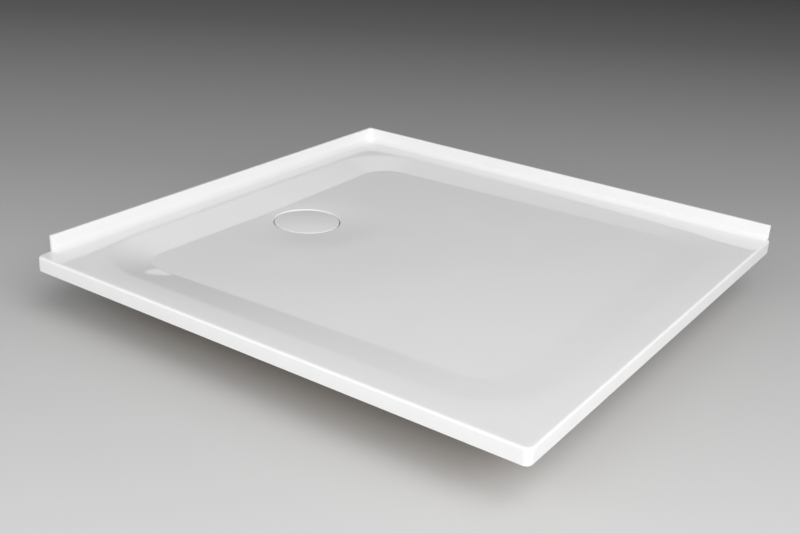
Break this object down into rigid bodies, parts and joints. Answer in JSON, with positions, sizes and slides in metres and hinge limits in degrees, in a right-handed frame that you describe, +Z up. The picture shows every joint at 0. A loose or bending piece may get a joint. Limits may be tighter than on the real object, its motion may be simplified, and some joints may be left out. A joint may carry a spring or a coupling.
{
  "type": "shower tray",
  "caption": "Square low-profile shower tray with a sloping well, upstands on adjoining sides, lift-out domed waste cover, low trap and levelling legs.",
  "frame": {"origin": "centre of the tray's plan, on the floor under the feet", "axes": "+Z up; +Y towards the side with the back upstand; -X towards the side with the left upstand and the waste"},
  "size_m": [0.9, 0.9, 0.142],
  "materials": {
    "tray_white": "glossy acrylic-capped skin",
    "cover_white": "glossy moulded plastic",
    "flange_white": "moulded plastic",
    "mineral_resin": "cast, mineral-filled",
    "board": "particle board, sealed",
    "leg_plastic": "moulded, fine texture",
    "zinc_steel": "zinc plated",
    "pad_rubber": "moulded rubber",
    "seal_rubber": "soft rubber",
    "trap_plastic": "moulded polypropylene",
    "cup_plastic": "moulded polypropylene"
  },
  "bodies": {
    "root": {"base_board": "board", "flange_seal": "seal_rubber", "leg_screws": "zinc_steel", "leg_socket_back_left": "leg_plastic", "leg_socket_back_right": "leg_plastic", "leg_socket_centre": "leg_plastic", "leg_socket_front_left": "leg_plastic", "leg_socket_front_right": "leg_plastic", "outlet_seal": "seal_rubber", "resin_core": "mineral_resin", "trap_body": "trap_plastic", "trap_outlet": "trap_plastic", "trap_seal": "seal_rubber", "trap_weir": "trap_plastic", "tray_shell": "tray_white", "waste_flange": "flange_white"},
    "cup": {"strainer_cup": "cup_plastic", "strainer_bridge": "cup_plastic", "cup_seal": "seal_rubber"},
    "cover": {"waste_cover": "cover_white"},
    "outlet_ring": {"outlet_nut": "trap_plastic"},
    "leg_front_left": {"leg_stud_front_left": "zinc_steel", "leg_foot_front_left": "leg_plastic", "foot_pad_front_left": "pad_rubber"},
    "lock_nut_front_left": {"leg_nut_front_left": "zinc_steel"},
    "leg_front_right": {"leg_stud_front_right": "zinc_steel", "leg_foot_front_right": "leg_plastic", "foot_pad_front_right": "pad_rubber"},
    "lock_nut_front_right": {"leg_nut_front_right": "zinc_steel"},
    "leg_back_left": {"leg_stud_back_left": "zinc_steel", "leg_foot_back_left": "leg_plastic", "foot_pad_back_left": "pad_rubber"},
    "lock_nut_back_left": {"leg_nut_back_left": "zinc_steel"},
    "leg_back_right": {"leg_stud_back_right": "zinc_steel", "leg_foot_back_right": "leg_plastic", "foot_pad_back_right": "pad_rubber"},
    "lock_nut_back_right": {"leg_nut_back_right": "zinc_steel"},
    "leg_centre": {"leg_stud_centre": "zinc_steel", "leg_foot_centre": "leg_plastic", "foot_pad_centre": "pad_rubber"},
    "lock_nut_centre": {"leg_nut_centre": "zinc_steel"}
  },
  "joints": [
    {"name": "strainer_lift", "type": "slide", "parent": "root", "child": "cup", "axis": [0, 0, 1], "range_m": [0, 0.1]},
    {"name": "cover_lift", "type": "slide", "parent": "cup", "child": "cover", "axis": [0, 0, 1], "range_m": [0, 0.06]},
    {"name": "outlet_nut_turn", "type": "hinge", "parent": "root", "child": "outlet_ring", "pos_m": [-0.34, 0, 0.043], "axis": [-1, 0, 0], "continuous": true},
    {"name": "leg_height_front_left", "type": "slide", "parent": "root", "child": "leg_front_left", "axis": [0, 0, 1], "range_m": [-0.018, 0]},
    {"name": "lock_nut_run_front_left", "type": "slide", "parent": "leg_front_left", "child": "lock_nut_front_left", "axis": [0, 0, 1], "range_m": [-0.018, 0]},
    {"name": "leg_height_front_right", "type": "slide", "parent": "root", "child": "leg_front_right", "axis": [0, 0, 1], "range_m": [-0.018, 0]},
    {"name": "lock_nut_run_front_right", "type": "slide", "parent": "leg_front_right", "child": "lock_nut_front_right", "axis": [0, 0, 1], "range_m": [-0.018, 0]},
    {"name": "leg_height_back_left", "type": "slide", "parent": "root", "child": "leg_back_left", "axis": [0, 0, 1], "range_m": [-0.018, 0]},
    {"name": "lock_nut_run_back_left", "type": "slide", "parent": "leg_back_left", "child": "lock_nut_back_left", "axis": [0, 0, 1], "range_m": [-0.018, 0]},
    {"name": "leg_height_back_right", "type": "slide", "parent": "root", "child": "leg_back_right", "axis": [0, 0, 1], "range_m": [-0.018, 0]},
    {"name": "lock_nut_run_back_right", "type": "slide", "parent": "leg_back_right", "child": "lock_nut_back_right", "axis": [0, 0, 1], "range_m": [-0.018, 0]},
    {"name": "leg_height_centre", "type": "slide", "parent": "root", "child": "leg_centre", "axis": [0, 0, 1], "range_m": [-0.018, 0]},
    {"name": "lock_nut_run_centre", "type": "slide", "parent": "leg_centre", "child": "lock_nut_centre", "axis": [0, 0, 1], "range_m": [-0.018, 0]}
  ]
}
